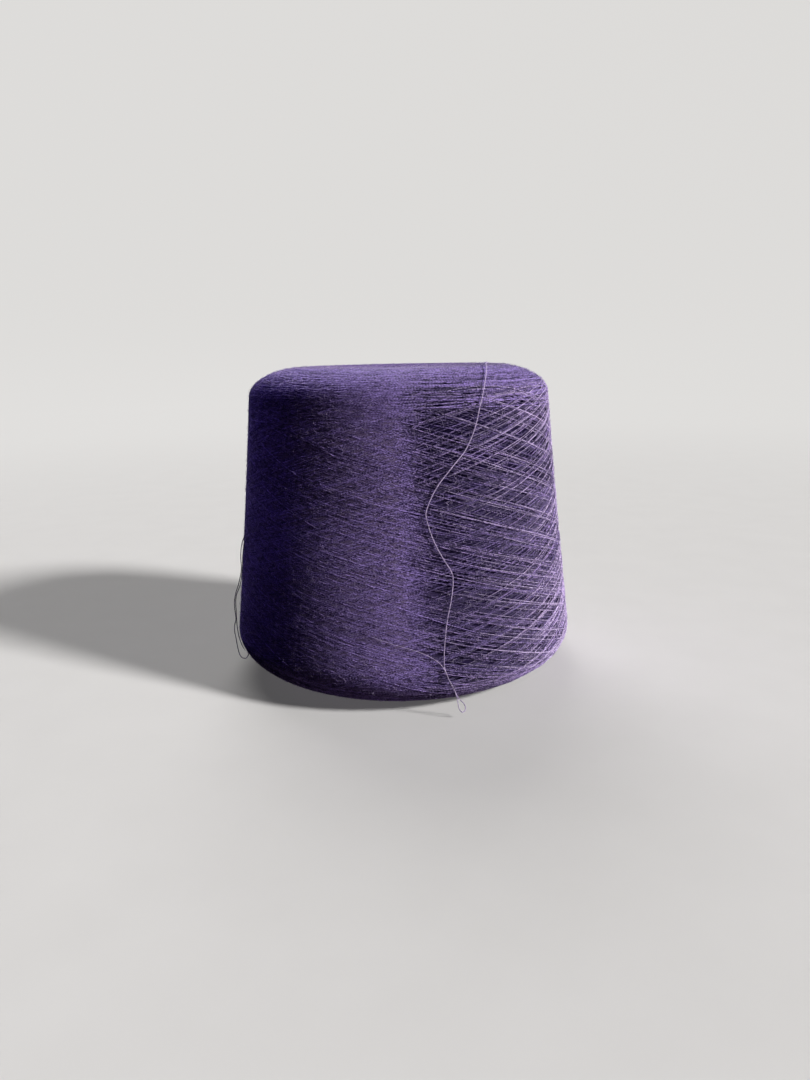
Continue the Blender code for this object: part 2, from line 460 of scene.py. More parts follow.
@dataclass(frozen=True)
class BedFinish:
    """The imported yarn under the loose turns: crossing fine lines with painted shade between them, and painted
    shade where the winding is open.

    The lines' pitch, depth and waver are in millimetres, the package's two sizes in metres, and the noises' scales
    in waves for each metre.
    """

    name: str
    dark: Tint
    light: Tint
    roughness: float = 0.95
    specular: float = 0.1
    # Painted shade: the share of its colour that the bed keeps where the winding is open, and the dark colour and
    # share it is blended towards there.
    open_shade: float = 0.2
    deep: Tint = (0.016, 0.01, 0.045)
    depth_shade: float = 0.85
    line_pitch: float = 0.55
    line_depth: float = 0.25
    line_bump: float = 0.9
    line_waver: float = 4.0
    # Painted shade: how much the bed darkens between its lines.
    line_shading: float = 0.35
    waver_scale: float = 90.0
    hand_scale: float = 300.0
    hand_border: Span = (0.45, 0.55)
    fleck_scale: float = 1500.0
    fleck_share: float = 0.8
    fleck_relief: float = 0.6
    wind_angle: float = 15.3
    middle_radius: float = 0.08
    outline_length: float = 0.39

    def lines(self, tree: ShaderTree, around: Field, along: Field, waver: Field, hand: int) -> Field:
        """The ridges of the turns that climb one way.

        Args:
            tree: the material's tree.
            around: the share of the way round the package.
            along: the share of the way along its outline.
            waver: noise that keeps the ridges from being even.
            hand: 1 for turns that climb to the right, -1 for turns that climb to the left.

        Returns:
            A field from 0 between the turns to 1 on them.
        """
        slope = hand * TURN * self.middle_radius * math.tan(math.radians(self.wind_angle))
        climb = along * self.outline_length - around * slope + waver * (self.line_waver * MM)
        return tree.math("SINE", climb * (TURN / (self.line_pitch * MM))) * 0.5 + 0.5

    def material(self) -> bpy.types.Material:
        """Makes the finish.

        Returns:
            A material that reads the bed's UV map and its openness.
        """
        tree = ShaderTree(self.name, {"Roughness": self.roughness, "Specular IOR Level": self.specular})
        around, along, _ = tree.parts(tree.get("ShaderNodeUVMap", uv_map="bed_uv"))
        waver = tree.noise(tree.place, self.waver_scale, 2.0)
        chosen = tree.rise(tree.noise(tree.place, self.hand_scale), *self.hand_border)
        right, left = (self.lines(tree, around, along, waver, hand) for hand in (1, -1))
        ridges = right * chosen + left * (1.0 - chosen)
        fleck = tree.noise(tree.place, self.fleck_scale, 2.0)
        openness = tree.attribute("openness")
        # Painted shade: darker between the lines and where the winding lies open; the fleck is the yarn's own tone.
        mix = (ridges * self.line_shading + fleck * self.fleck_share) * (1.0 - openness * (1 - self.open_shade))
        shade = tree.blend(openness * self.depth_shade, tree.blend(mix, self.dark, self.light), self.deep)
        relief = tree.relief(ridges + fleck * self.fleck_relief, self.line_depth, self.line_bump)
        tree.set({"Base Color": shade, "Normal": relief})
        return tree.material


# -------------------------------------------------------------------------------------------- the package


class Landmark(Enum):
    """A corner of the package's outline, in the order in which the outline passes it."""

    FOOT_INNER = "foot at the bore"
    FOOT_OUTER = "foot at its rounding"
    BULGE = "widest place, at the bottom of the side"
    SHOULDER = "top of the side"
    TOP_OUTER = "top at its rounding"
    TOP_INNER = "top at the bore"
    BORE_TOP = "top of the bore's wall"
    BORE_FOOT = "bottom of the bore's wall"


@dataclass
class Outline:
    """The half section of the wound package that is turned round its axis, in metres."""

    height: float
    taper: float = math.radians(5.95)
    bulge_radius: float = 0.0865
    foot_round_in: float = 0.0326
    foot_round_up: float = 0.0209
    top_round_in: float = 0.0272
    top_round_down: float = 0.0139
    side_hollow: float = 0.0004
    top_dish: float = 0.0012
    bore_foot_radius: float = 0.0333
    bore_round: float = 0.0015
    step: float = 0.002
    points: list[tuple[float, float]] = field(default_factory=list)
    marks: dict[Landmark, int] = field(default_factory=dict)

    def __post_init__(self) -> None:
        """Draws the outline from the foot's inner edge, up the outside and back down the bore."""
        side = self.height - self.foot_round_up - self.top_round_down
        shoulder = self.bulge_radius - side * math.tan(self.taper)
        foot_outer = self.bulge_radius - self.foot_round_in
        top_outer = shoulder - self.top_round_in
        self.points.append((self.bore_radius(0.0) + self.bore_round, 0.0))
        self._mark(Landmark.FOOT_INNER)
        self._line(foot_outer, 0.0)
        self._mark(Landmark.FOOT_OUTER)
        self._quarter((foot_outer, self.foot_round_up), self.foot_round_in, self.foot_round_up, -90, 0)
        self._mark(Landmark.BULGE)
        self._side(shoulder, side)
        self._mark(Landmark.SHOULDER)
        self._quarter((top_outer, self.height - self.top_round_down), self.top_round_in, self.top_round_down, 0, 90)
        self._mark(Landmark.TOP_OUTER)
        top = self.height - self.top_dish
        rim = self.bore_radius(top) + self.bore_round
        self._line(rim, top)
        self._mark(Landmark.TOP_INNER)
        self._quarter((rim, top - self.bore_round), self.bore_round, self.bore_round, 90, 180)
        self._mark(Landmark.BORE_TOP)
        self._line(self.bore_radius(self.bore_round), self.bore_round)
        self._mark(Landmark.BORE_FOOT)
        rim = self.bore_radius(0.0) + self.bore_round
        self._quarter((rim, self.bore_round), self.bore_round, self.bore_round, 180, 270)

    def bore_radius(self, height: float) -> float:
        """The bore's radius at a height."""
        return self.bore_foot_radius - height * math.tan(self.taper)

    def _mark(self, landmark: Landmark) -> None:
        """Names the outline's last point."""
        self.marks[landmark] = len(self.points) - 1

    def _line(self, radius: float, height: float) -> None:
        """Goes straight on to a place.

        Args:
            radius: the place's distance from the axis.
            height: its height.
        """
        across, up = self.points[-1]
        steps = max(1, round(math.dist((across, up), (radius, height)) / self.step))
        for k in range(1, steps + 1):
            share = k / steps
            self.points.append((across + (radius - across) * share, up + (height - up) * share))

    def _side(self, shoulder: float, rise: float) -> None:
        """Climbs the tapered side, which is a little hollow at its middle.

        Args:
            shoulder: the radius at the side's top.
            rise: how high the side is.
        """
        radius, height = self.points[-1]
        steps = round(rise / self.step)
        for k in range(1, steps + 1):
            share = k / steps
            hollow = self.side_hollow * math.sin(math.pi * share)
            self.points.append((radius + (shoulder - radius) * share - hollow, height + rise * share))

    def _quarter(self, centre: tuple[float, float], wide: float, high: float, start: float, end: float) -> None:
        """Goes round a quarter ellipse.

        Args:
            centre: the ellipse's centre, as a radius and a height.
            wide: its half width.
            high: its half height.
            start: the angle of the outline's last point, in degrees from outwards towards up.
            end: the angle that it goes to.
        """
        steps = max(3, round((wide + high) * math.pi / 4 / self.step))
        for k in range(1, steps + 1):
            angle = math.radians(start + (end - start) * k / steps)
            self.points.append((centre[0] + wide * math.cos(angle), centre[1] + high * math.sin(angle)))

    @property
    def length(self) -> float:
        """The outline's whole length."""
        return sum(math.dist(a, b) for a, b in zip(self.points, self.points[1:]))

    def share(self, landmark: Landmark, past: float = 0.0) -> float:
        """How far along the outline a place is, from 0 to 1.

        Args:
            landmark: a corner.
            past: the place's distance past it, in metres.

        Returns:
            The share of the outline's whole length.
        """
        before = self.points[: self.marks[landmark] + 1]
        return (sum(math.dist(a, b) for a, b in zip(before, before[1:])) + past) / self.length

    def mesh(self) -> bpy.types.Mesh:
        """The outline as a chain of edges, for a tree to turn or follow."""
        return chain_mesh([(radius, 0.0, height) for radius, height in self.points])

    def turned(self, tree: GeometryTree, azimuth: Number, along: Number, lift: Number) -> Field:
        """The point of the turned package at a place.

        Args:
            tree: the tree, whose carrier is the outline's mesh.
            azimuth: the angle round the package, in radians.
            along: the share of the outline.
            lift: how far the point stands off the outline, outwards.

        Returns:
            The point, as a vector field.
        """
        ask = {"Curves": tree.curve(tree.carrier), "Factor": along}
        sample = tree.add("GeometryNodeSampleCurve", ask, mode="FACTOR")
        across, _, up = tree.parts(tree.out(sample, "Position"))
        way_across, _, way_up = tree.parts(tree.out(sample, "Tangent"))
        radius = across + way_up * lift
        height = up - way_across * lift
        right, back = radius * tree.math("SINE", azimuth), radius * tree.math("COSINE", azimuth) * -1.0
        return tree.vector(right, back, height)


@dataclass
class OpenWinding:
    """Where, at the right of the front, the turns lie open with dark gaps between them: the gaps are deep, and the
    finishes paint shade into them.

    The left, right and closing edges are azimuths in degrees. The low edge and the top rise are metres past the
    bulge, and the high edge is metres past the shoulder.
    """

    outline: Outline
    left_edge: Span = (-2.0, 14.0)
    right_edge: Span = (125.0, 150.0)
    closing: Span = (38.0, 84.0)
    closed_share: float = 0.75
    edge_slant: float = 8.0
    edge_waver: float = 9.0
    waver_scale: float = 40.0
    low_edge: Span = (-0.062, -0.028)
    high_edge: Span = (-0.004, 0.036)
    top_rise: Span = (0.066, 0.096)
    top_gain: float = 1.35

    def share(self, tree: GeometryTree, azimuth: Number, along: Number) -> Field:
        """How open the winding is at a place.

        Args:
            tree: the tree that asks.
            azimuth: the angle round the package, in radians.
            along: the share of the outline.

        Returns:
            A field from 0, closed, to 1, open, and over 1 high on the side, where the gaps are deepest.
        """
        at = self.outline.share
        middle = (at(Landmark.BULGE) + at(Landmark.SHOULDER)) / 2
        degrees = tree.math("WRAP", azimuth * (360 / TURN), 180.0, -180.0)
        waver = tree.noise(tree.vector(along * self.waver_scale, 0.0, 0.0), 1.0)
        slanted = degrees + (along - middle) * self.edge_slant + (waver - 0.5) * self.edge_waver
        left = tree.rise(slanted, *self.left_edge)
        closing = tree.rise(degrees, *self.closing, 1.0, self.closed_share)
        right = tree.rise(degrees, *self.right_edge, 1.0, 0.0) * closing
        low = tree.rise(along, *(at(Landmark.BULGE, past) for past in self.low_edge))
        high = tree.rise(along, *(at(Landmark.SHOULDER, past) for past in self.high_edge), 1.0, 0.0)
        gain = tree.rise(along, *(at(Landmark.BULGE, past) for past in self.top_rise), 1.0, self.top_gain)
        return left * right * low * high * gain


@dataclass
class BedTree:
    """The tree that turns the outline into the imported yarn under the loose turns."""

    opening: OpenWinding
    lump_scale: float = 180.0
    weld: float = 1e-6

    def build(self) -> GeometryTree:
        """Makes the tree.

        Returns:
            The tree, with the bed's counts and depths as its inputs.
        """
        tree = GeometryTree("packed bed")
        columns, rows = tree.inputs("Columns", "Rows", kind="NodeSocketInt")
        sink, open_sink, lump = tree.inputs("Sink", "Open Sink", "Lump")
        material = tree.input("Material", "NodeSocketMaterial")
        outline = self.opening.outline
        sizes = {"Size X": 1.0, "Size Y": 1.0, "Vertices X": columns, "Vertices Y": rows}
        grid = tree.add("GeometryNodeMeshGrid", sizes)
        across, up, _ = tree.parts(tree.get("GeometryNodeInputPosition"))
        azimuth = (across + 0.5) * TURN
        along = up + 0.5
        openness = self.opening.share(tree, azimuth, along)
        lumps = tree.noise(outline.turned(tree, azimuth, along, 0.0), self.lump_scale, 2.0)
        lift = (lumps - 0.5) * lump - sink - openness * open_sink
        # The bed's finish paints shade by this openness.
        marked = tree.store(tree.out(grid, "Mesh"), "openness", openness)
        sheet = {"Geometry": marked, "Name": "bed_uv", "Value": grid.outputs["UV Map"]}
        mapped = tree.get("GeometryNodeStoreNamedAttribute", sheet, data_type="FLOAT2", domain="CORNER")
        moved = tree.move(mapped, outline.turned(tree, azimuth, along, lift))
        merged = tree.get("GeometryNodeMergeByDistance", {"Geometry": moved, "Distance": self.weld})
        tree.close(merged, material)
        return tree


@dataclass
class TurnsTree:
    """The tree that lays strands round the package, to and fro between two ends of the outline.

    The rates say how fast a noise changes along a turn and from strand to strand. The dives are the shares of a
    strand at its two ends where it sinks, and the depths are the lifts in millimetres between which painted shade
    goes from full to none.
    """

    opening: OpenWinding
    drift_rates: Span = (5.0, 3.7)
    weave_rates: Span = (48.0, 5.1)
    start_dive: Span = (0.0, 0.28)
    end_dive: Span = (0.72, 1.0)
    depths: Span = (-1.1, -0.2)
    keep_bounds: Span = (0.02, 0.98)

    def build(self) -> GeometryTree:
        """Makes the tree.

        Returns:
            The tree, with the strands' counts, paths and depths as its inputs.
        """
        tree = GeometryTree("wound turns")
        count, knots, group, sides, seed = tree.inputs(
            "Strands", "Knots", "Group", "Sides", "Seed", kind="NodeSocketInt"
        )
        turns, turns_per_lap, azimuth_start, azimuth_step, azimuth_spread, dive = tree.inputs(
            "Turns", "Turns Per Lap", "Azimuth Start", "Azimuth Step", "Azimuth Spread", "Dive"
        )
        lap_start, group_step, strand_step, jitter = tree.inputs(
            "Lap Start", "Group Step", "Strand Step", "Jitter"
        )
        low_end, low_spread, high_end, high_spread = tree.inputs(
            "Low End", "Low Spread", "High End", "High Spread"
        )
        lift_low, lift_high, open_low, open_high = tree.inputs(
            "Lift Low", "Lift High", "Open Lift Low", "Open Lift High"
        )
        keep_closed, keep_open = tree.inputs("Keep Closed", "Keep Open")
        corner, waver, weave, radius = tree.inputs("Corner", "Waver", "Weave", "Radius")
        material = tree.input("Material", "NodeSocketMaterial")

        line, strand, share = tree.chains(count, knots)
        wound = share * turns + tree.chance(strand, seed + 7) * azimuth_spread / TURN
        azimuth = azimuth_start + strand * azimuth_step + wound * TURN
        bunch = tree.math("FLOOR", (strand + 0.5) / group)
        member = tree.math("FLOORED_MODULO", strand, group)
        lap = lap_start + bunch * group_step + member * strand_step + wound / turns_per_lap
        lap = lap + tree.chance(strand, seed, -1.0, 1.0) * jitter
        swing = tree.math("SINE", lap * TURN - TURN / 4) * corner
        zigzag = tree.math("ARCSINE", swing) / tree.math("ARCSINE", corner) * 0.5 + 0.5
        low = low_end + tree.chance(strand, seed + 1) * low_spread
        high = high_end - tree.chance(strand, seed + 2) * high_spread
        drift = tree.noise(tree.vector(wound * self.drift_rates[0], strand * self.drift_rates[1], seed), 1.0)
        along = low + (high - low) * zigzag + (drift - 0.5) * waver
        openness = self.opening.share(tree, azimuth, along)
        closed_lift = tree.chance(strand, seed + 3, lift_low, lift_high)
        open_lift = tree.chance(strand, seed + 4, open_low, open_high)
        woven = tree.vector(wound * self.weave_rates[0], strand * self.weave_rates[1], seed)
        over_under = tree.noise(woven, 1.0)
        lift = closed_lift + (open_lift - closed_lift) * openness + (over_under - 0.5) * weave
        sinking = tree.rise(share, *self.start_dive, 1.0, 0.0) + tree.rise(share, *self.end_dive)
        lift = lift - sinking * dive
        kept = keep_closed + (keep_open - keep_closed) * openness
        hidden = tree.math("GREATER_THAN", tree.chance(strand, seed + 5, *self.keep_bounds), kept)

        toned = tree.store(line, "tone", tree.chance(strand, seed + 6))
        # Painted shade: how far the finish darkens this strand, full when it lies deep, none near the top.
        depth = tree.rise(lift, *(depth * MM for depth in self.depths), 1.0, 0.0)
        sunk = tree.store(toned, "depth", depth)
        placed = tree.move(sunk, self.opening.outline.turned(tree, azimuth, along, lift))
        cut = {"Geometry": placed, "Selection": hidden}
        shown = tree.get("GeometryNodeDeleteGeometry", cut, domain="POINT")
        tree.close(tree.thread(shown, radius, sides), material)
        return tree


@dataclass
class FuzzTree:
    """The tree that stands short fine fibres on the package's surface.

    The bend is in radians, the package's radius in metres and the roots' depth in millimetres.
    """

    outline: Outline
    sides: int = 3
    curl_rates: Span = (1.5, 7.3)
    curl: float = 3.0
    package_radius: float = 0.08
    bend: Span = (1.4, 3.3)
    rise_shares: Span = (0.1, 1.0)
    root_depth: float = 0.1
    thinning: float = 0.6

    def build(self) -> GeometryTree:
        """Makes the tree.

        Returns:
            The tree, with the fibres' count and sizes as its inputs.
        """
        tree = GeometryTree("fuzz")
        count, knots, seed = tree.inputs("Fibres", "Knots", "Seed", kind="NodeSocketInt")
        low_end, high_end, short, long, rise, radius = tree.inputs(
            "Low End", "High End", "Shortest", "Longest", "Rise", "Radius"
        )
        material = tree.input("Material", "NodeSocketMaterial")
        line, fibre, share = tree.chains(count, knots)
        heading = tree.chance(fibre, seed, 0.0, TURN)
        gone = share * tree.chance(fibre, seed + 1, short, long)
        curled = tree.vector(share * self.curl_rates[0], fibre * self.curl_rates[1], 0.0)
        way = heading + (tree.noise(curled, 1.0) - 0.5) * self.curl
        azimuth = tree.chance(fibre, seed + 2, 0.0, TURN)
        azimuth = azimuth + gone * tree.math("COSINE", way) / self.package_radius
        along = tree.chance(fibre, seed + 3, low_end, high_end)
        along = along + gone * tree.math("SINE", way) / self.outline.length
        bend = tree.chance(fibre, seed + 4, *self.bend)
        height = tree.chance(fibre, seed + 5, *self.rise_shares)
        lift = tree.math("SINE", share * bend) * height * rise - self.root_depth * MM
        toned = tree.store(line, "tone", tree.chance(fibre, seed + 6))
        placed = tree.move(toned, self.outline.turned(tree, azimuth, along, lift))
        tree.close(tree.thread(placed, radius, self.sides, 1.0 - share * self.thinning), material)
        return tree


class YarnPlace(Enum):
    """Where a family of turns lies, which settles its finish: lighter or darker copies of the one yarn, with light
    and shade painted in for each place.
    """

    SIDE = "packed side and shoulder"
    BASE = "middle of the open winding"
    OPEN = "top of the open winding"
    EDGE = "rounding of the foot, ends and bore"


@dataclass
class Turns:
    """One family of turns. Lifts and the diameter are in millimetres, and lifts are from the outline."""

    name: str
    strands: int
    turns: float
    turns_per_lap: float
    low_end: float
    high_end: float
    knots_per_turn: int = 60
    azimuth_start: float = 0.0
    azimuth_step: float = 0.0
    azimuth_spread: float = 0.0
    dive: float = 0.0
    group: int = 1
    lap_start: float = 0.0
    group_step: float = 0.0
    strand_step: float = 0.0
    jitter: float = 0.0
    low_spread: float = 0.0
    high_spread: float = 0.0
    corner: float = 0.985
    waver: float = 0.0
    weave: float = 0.0
    lift: tuple[float, float] = (-0.35, -0.2)
    open_lift: tuple[float, float] = (-0.35, -0.2)
    keep_closed: float = 1.0
    keep_open: float = 1.0
    diameter: float = 0.5
    sides: int = 3
    seed: int = 0
    place: YarnPlace = YarnPlace.SIDE

    def values(self, material: bpy.types.Material) -> dict:
        """The tree's inputs for this family.

        Args:
            material: the yarn's finish.

        Returns:
            A value for each input, by its name.
        """
        return {
            "Strands": self.strands,
            "Knots": max(3, round(self.knots_per_turn * self.turns)),
            "Group": self.group,
            "Sides": self.sides,
            "Seed": self.seed,
            "Turns": self.turns,
            "Turns Per Lap": self.turns_per_lap,
            "Azimuth Start": math.radians(self.azimuth_start),
            "Azimuth Step": math.radians(self.azimuth_step),
            "Azimuth Spread": math.radians(self.azimuth_spread),
            "Dive": self.dive * MM,
            "Lap Start": self.lap_start,
            "Group Step": self.group_step,
            "Strand Step": self.strand_step,
            "Jitter": self.jitter,
            "Low End": self.low_end,
            "Low Spread": self.low_spread,
            "High End": self.high_end,
            "High Spread": self.high_spread,
            "Lift Low": self.lift[0] * MM,
            "Lift High": self.lift[1] * MM,
            "Open Lift Low": self.open_lift[0] * MM,
            "Open Lift High": self.open_lift[1] * MM,
            "Keep Closed": self.keep_closed,
            "Keep Open": self.keep_open,
            "Corner": self.corner,
            "Waver": self.waver,
            "Weave": self.weave * MM,
            "Radius": self.diameter / 2 * MM,
            "Material": material,
        }


@dataclass
class Package:
    """The wound package: its packed bed, the families of turns over it, and the fuzz on them."""

    outline: Outline
    yarns: dict[YarnPlace, YarnFinish]
    fuzz: YarnFinish
    bed: BedFinish
    sink: float = 0.24
    open_sink: float = 1.6
    lump: float = 0.08
    columns: int = 160
    rows: int = 200
    fibres: int = 13500
    fibre_lengths: Span = (1.0, 3.2)
    fibre_rise: float = 0.75
    fibre_radius: float = 0.05

    def families(self) -> list[Turns]:
        """The families of turns.

        Returns:
            The families: those of the side from the deepest to the topmost, then the edges and ends.
        """
        at = self.outline.share
        foot, foot_reach = at(Landmark.FOOT_OUTER, 0.004), at(Landmark.BULGE, -0.002)
        top, top_reach = at(Landmark.TOP_OUTER, -0.004), at(Landmark.SHOULDER, 0.002)
        lap, open_lap = 2.5, 1.95
        all_over = {
            "low_end": foot,
            "low_spread": foot_reach - foot,
            "high_end": top,
            "high_spread": top - top_reach,
            "azimuth_step": GOLDEN_ANGLE,
            "waver": 0.006,
            "weave": 0.3,
            "diameter": 0.45,
        }
        side_only = {
            "low_end": at(Landmark.BULGE, -0.024),
            "low_spread": 0.02,
            "high_end": at(Landmark.SHOULDER, 0.008),
            "high_spread": 0.02,
            "keep_closed": 0.0,
            "keep_open": 3.0,
            "knots_per_turn": 110,
            "diameter": 0.42,
        }
        edge = {"azimuth_step": GOLDEN_ANGLE, "place": YarnPlace.EDGE}
        return [
            Turns("inner_turns", 200, lap, lap, lift=(-0.38, -0.3), open_lift=(-1.5, -1.0), keep_open=0.5,
                  seed=11, **all_over),
            Turns("outer_turns", 220, lap, lap, azimuth_start=77.0, lift=(-0.3, -0.22), open_lift=(-1.2, -0.6),
                  keep_open=0.4, seed=23, **all_over),
            Turns("deep_turns", 110, 0.42, open_lap, azimuth_start=4.0, lap_start=0.33, group_step=0.0061,
                  jitter=0.006, waver=0.012, weave=0.9, lift=(-0.5, -0.3), open_lift=(-1.0, -0.4), seed=37,
                  place=YarnPlace.BASE, **side_only),
            Turns("rising_turns", 90, 0.34, open_lap, azimuth_start=2.0, azimuth_spread=70.0, lap_start=-0.2,
                  group_step=0.0082, jitter=0.01, waver=0.01, weave=0.9, dive=0.5, lift=(-0.45, -0.2),
                  open_lift=(-0.8, -0.2), seed=39, place=YarnPlace.BASE, **side_only),
            Turns("open_turns", 62, 0.4, open_lap, azimuth_start=8.0, azimuth_spread=26.0, lap_start=0.334,
                  group_step=0.0108, jitter=0.008, waver=0.01, weave=1.1, dive=0.5, lift=(-0.4, -0.2),
                  open_lift=(-0.4, -0.05), seed=31, place=YarnPlace.OPEN, **side_only),
            Turns("proud_bands", 18 * 5, 0.38, open_lap, azimuth_start=6.0, azimuth_spread=50.0,
                  lap_start=-0.26, group=5, group_step=0.037, strand_step=0.0042, jitter=0.004, waver=0.007,
                  weave=1.3, dive=0.9, lift=(-0.3, 0.0), open_lift=(-0.4, 0.0), seed=41,
                  place=YarnPlace.OPEN, **side_only),
            Turns("low_bands", 9 * 6, 0.36, open_lap, azimuth_start=8.0, azimuth_spread=50.0, lap_start=-0.07,
                  group=6, group_step=0.023, strand_step=0.0034, jitter=0.004, waver=0.007, weave=1.3,
                  dive=0.9, lift=(-0.3, 0.0), open_lift=(-0.4, 0.0), seed=43, place=YarnPlace.OPEN,
                  **side_only),
            Turns("stray_turns", 8, 0.12, open_lap, azimuth_start=-70.0, azimuth_spread=60.0, lap_start=0.58,
                  group_step=0.043, low_end=foot, high_end=top, weave=0.3, lift=(-0.22, -0.1),
                  open_lift=(-0.3, -0.1), seed=47, knots_per_turn=100, diameter=0.42, dive=0.4),
            Turns("shoulder_turns", 60, 4.0, 4.0, low_end=at(Landmark.SHOULDER, -0.01), low_spread=0.045,
                  high_end=top, high_spread=0.02, waver=0.004, weave=0.55, lift=(-0.34, -0.2),
                  open_lift=(-0.9, -0.1), keep_open=0.4, seed=53, azimuth_step=GOLDEN_ANGLE),
            Turns("foot_turns", 60, 4.0, 4.0, low_end=foot, low_spread=0.02, high_end=at(Landmark.BULGE, -0.006),
                  high_spread=0.014, waver=0.004, weave=0.3, lift=(-0.34, -0.2), open_lift=(-0.7, -0.1),
                  keep_open=0.4, seed=59, **edge),
            Turns("top_turns", 30, 5.0, 5.0, knots_per_turn=40, low_end=at(Landmark.TOP_OUTER, -0.008),
                  low_spread=0.01, high_end=at(Landmark.TOP_INNER, 0.001), high_spread=0.01, waver=0.003,
                  lift=(-0.35, -0.2), seed=61, **edge),
            Turns("base_turns", 30, 5.0, 5.0, knots_per_turn=40, low_end=at(Landmark.FOOT_INNER), low_spread=0.01,
                  high_end=at(Landmark.FOOT_OUTER, 0.01), high_spread=0.01, waver=0.003, lift=(-0.35, -0.27),
                  seed=67, **edge),
            Turns("bore_turns", 60, 3.0, 3.0, knots_per_turn=26, low_end=at(Landmark.BORE_TOP), low_spread=0.01,
                  high_end=at(Landmark.BORE_FOOT), high_spread=0.01, waver=0.003, lift=(-0.35, -0.2), seed=71,
                  **edge),
        ]

    def build(self) -> list[bpy.types.Object]:
        """Builds the package.

        Returns:
            Its pieces, the bed first.
        """
        opening = OpenWinding(self.outline)
        bed = {
            "Columns": self.columns + 1,
            "Rows": self.rows + 1,
            "Sink": self.sink * MM,
            "Open Sink": self.open_sink * MM,
            "Lump": self.lump * MM,
            "Material": self.bed.material(),
        }
        pieces = [BedTree(opening).build().run("yarn_bed", self.outline.mesh(), bed)]
        tree = TurnsTree(opening).build()
        yarns = {place: finish.material() for place, finish in self.yarns.items()}
        for family in self.families():
            pieces.append(tree.run(family.name, self.outline.mesh(), family.values(yarns[family.place])))
        fuzz = {
            "Fibres": self.fibres,
            "Knots": 3,
            "Seed": 83,
            "Low End": self.outline.share(Landmark.FOOT_OUTER, 0.016),
            "High End": self.outline.share(Landmark.TOP_INNER),
            "Shortest": self.fibre_lengths[0] * MM,
            "Longest": self.fibre_lengths[1] * MM,
            "Rise": self.fibre_rise * MM,
            "Radius": self.fibre_radius * MM,
            "Material": self.fuzz.material(),
        }
        pieces.append(FuzzTree(self.outline).build().run("fuzz", self.outline.mesh(), fuzz))
        for piece in pieces:
            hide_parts("wound_yarn")
            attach(piece, BODY)
        return pieces


# --------------------------------------------------------------------------------------- the free strands


class RoutePoint(NamedTuple):
    """A place on a strand's route: degrees from the front, and millimetres from the axis and from the foot."""

    azimuth: float
    radius: float
    height: float

    def point(self) -> Vector:
        """The place as a point in metres."""
        turned = math.radians(self.azimuth)
        return Vector((self.radius * math.sin(turned), -self.radius * math.cos(turned), self.height)) * MM


LOOSE_END = (
    RoutePoint(76.0, 44.0, 152.6),
    RoutePoint(64.0, 47.5, 152.8),
    RoutePoint(54.0, 50.8, 152.7),
    RoutePoint(46.0, 55.5, 152.3),
    RoutePoint(39.8, 61.5, 151.0),
    RoutePoint(32.5, 70.2, 146.9),
    RoutePoint(29.1, 74.4, 141.6),
    RoutePoint(26.9, 75.5, 134.0),
    RoutePoint(24.8, 76.3, 125.9),
    RoutePoint(21.3, 77.1, 117.6),
    RoutePoint(16.3, 77.8, 110.5),
    RoutePoint(11.1, 78.6, 102.3),
    RoutePoint(8.0, 79.4, 94.0),
    RoutePoint(7.7, 79.9, 89.7),
    RoutePoint(9.6, 80.8, 80.4),
    RoutePoint(12.5, 81.7, 72.0),
    RoutePoint(14.9, 82.3, 66.0),
    RoutePoint(15.2, 82.8, 61.7),
    RoutePoint(14.4, 83.6, 54.0),
    RoutePoint(12.6, 84.9, 42.6),
    RoutePoint(11.5, 86.6, 27.6),
    RoutePoint(12.1, 87.3, 21.6),
    RoutePoint(14.4, 87.4, 13.6),
    RoutePoint(15.6, 87.5, 9.9),
    RoutePoint(17.1, 87.8, 7.2),
    RoutePoint(17.6, 88.0, 5.2),
    RoutePoint(17.4, 88.1, 3.9),
    RoutePoint(16.7, 88.2, 3.3),
    RoutePoint(15.9, 88.2, 4.2),
    RoutePoint(15.4, 88.3, 6.2),
    RoutePoint(15.0, 88.4, 9.6),
    RoutePoint(14.0, 88.4, 15.1),
    RoutePoint(12.6, 88.3, 19.6),
    RoutePoint(11.5, 87.9, 23.9),
    RoutePoint(9.8, 87.0, 27.4),
    RoutePoint(7.0, 86.5, 30.4),
    RoutePoint(2.9, 86.1, 33.3),
    RoutePoint(-1.1, 85.8, 35.1),
    RoutePoint(-6.0, 85.4, 37.5),
    RoutePoint(-9.5, 84.9, 39.2),
)

SLACK_LOOP = (
    RoutePoint(-68.5, 81.1, 73.6),
    RoutePoint(-71.5, 81.3, 71.8),
    RoutePoint(-77.0, 82.1, 66.9),
    RoutePoint(-79.0, 83.0, 61.9),
    RoutePoint(-79.0, 83.3, 57.4),
    RoutePoint(-78.0, 83.3, 54.5),
    RoutePoint(-78.0, 83.6, 51.4),
    RoutePoint(-79.0, 84.7, 46.7),
    RoutePoint(-79.8, 85.7, 43.2),
    RoutePoint(-80.0, 87.0, 39.7),
    RoutePoint(-80.0, 88.0, 35.2),
    RoutePoint(-80.0, 88.1, 31.2),
    RoutePoint(-80.0, 87.9, 25.5),
    RoutePoint(-79.5, 88.7, 22.8),
    RoutePoint(-78.5, 88.9, 19.8),
    RoutePoint(-76.5, 88.4, 16.8),
    RoutePoint(-74.5, 88.2, 14.3),
    RoutePoint(-71.5, 87.8, 11.4),
    RoutePoint(-69.0, 87.2, 10.7),
    RoutePoint(-67.0, 86.4, 11.2),
    RoutePoint(-66.0, 85.9, 11.8),
    RoutePoint(-64.0, 85.5, 14.4),
    RoutePoint(-62.0, 86.4, 17.0),
)

